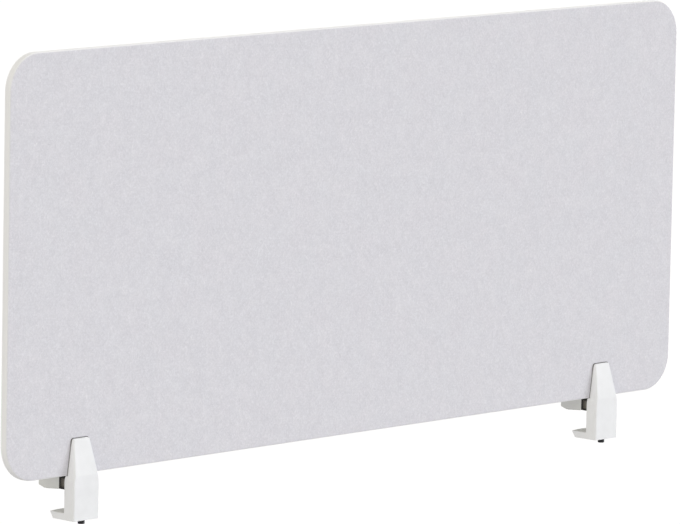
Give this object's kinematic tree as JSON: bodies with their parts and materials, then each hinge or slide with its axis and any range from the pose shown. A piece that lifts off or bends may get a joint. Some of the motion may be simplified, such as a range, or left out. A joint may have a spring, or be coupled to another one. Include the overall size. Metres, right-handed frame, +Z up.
{
  "type": "acoustic divider screen",
  "caption": "Light-grey felt desk screen with rounded corners, held at its bottom edge by white screw clamps that grip a desk top.",
  "frame": {"origin": "mid-length of the board, on the plane of the desk's edge, at the level of the desk's underside", "axes": "+X along the board, +Y over the desk, +Z up"},
  "size_m": [1.4, 0.0765, 0.6695],
  "materials": {
    "felt": "matte",
    "white_cast": "satin",
    "white_plate": "satin",
    "black_pad": "matte",
    "grey_rubber": "matte",
    "black_nylon": "satin",
    "black_steel": "satin",
    "spring_steel": "satin",
    "nut_steel": "satin"
  },
  "bodies": {
    "screen": {"felt_panel": "felt", "left_clamp_body": "white_cast", "left_front_pad": "black_pad", "left_rear_pad": "black_pad", "left_rear_plate": "white_plate", "left_panel_screws": "black_steel", "left_lower_jaw_pad": "grey_rubber", "right_clamp_body": "white_cast", "right_front_pad": "black_pad", "right_rear_pad": "black_pad", "right_rear_plate": "white_plate", "right_panel_screws": "black_steel", "right_lower_jaw_pad": "grey_rubber"},
    "left_jaw": {"left_slide_block": "black_nylon", "left_upper_jaw": "white_cast", "left_upper_jaw_pad": "grey_rubber", "left_jaw_screw": "black_steel", "left_screw_nut": "nut_steel"},
    "left_screw": {"left_clamp_screw": "black_steel", "left_retaining_clip": "spring_steel"},
    "right_jaw": {"right_slide_block": "black_nylon", "right_upper_jaw": "white_cast", "right_upper_jaw_pad": "grey_rubber", "right_jaw_screw": "black_steel", "right_screw_nut": "nut_steel"},
    "right_screw": {"right_clamp_screw": "black_steel", "right_retaining_clip": "spring_steel"}
  },
  "joints": [
    {"name": "left_jaw_slide", "type": "slide", "parent": "screen", "child": "left_jaw", "axis": [0, 0, 1], "range_m": [-0.018, 0]},
    {"name": "left_screw_turn", "type": "hinge", "parent": "screen", "child": "left_screw", "pos_m": [-0.558, -0.00875, 0], "axis": [0, 0, 1], "range_deg": [0, 6480]},
    {"name": "right_jaw_slide", "type": "slide", "parent": "screen", "child": "right_jaw", "axis": [0, 0, 1], "range_m": [-0.018, 0]},
    {"name": "right_screw_turn", "type": "hinge", "parent": "screen", "child": "right_screw", "pos_m": [0.541, -0.00875, 0], "axis": [0, 0, 1], "range_deg": [0, 6480]}
  ],
  "couplings": [
    {"joint": "left_screw_turn", "follows": "left_jaw_slide", "rad_per_m": -6283.2},
    {"joint": "right_screw_turn", "follows": "right_jaw_slide", "rad_per_m": -6283.2}
  ]
}
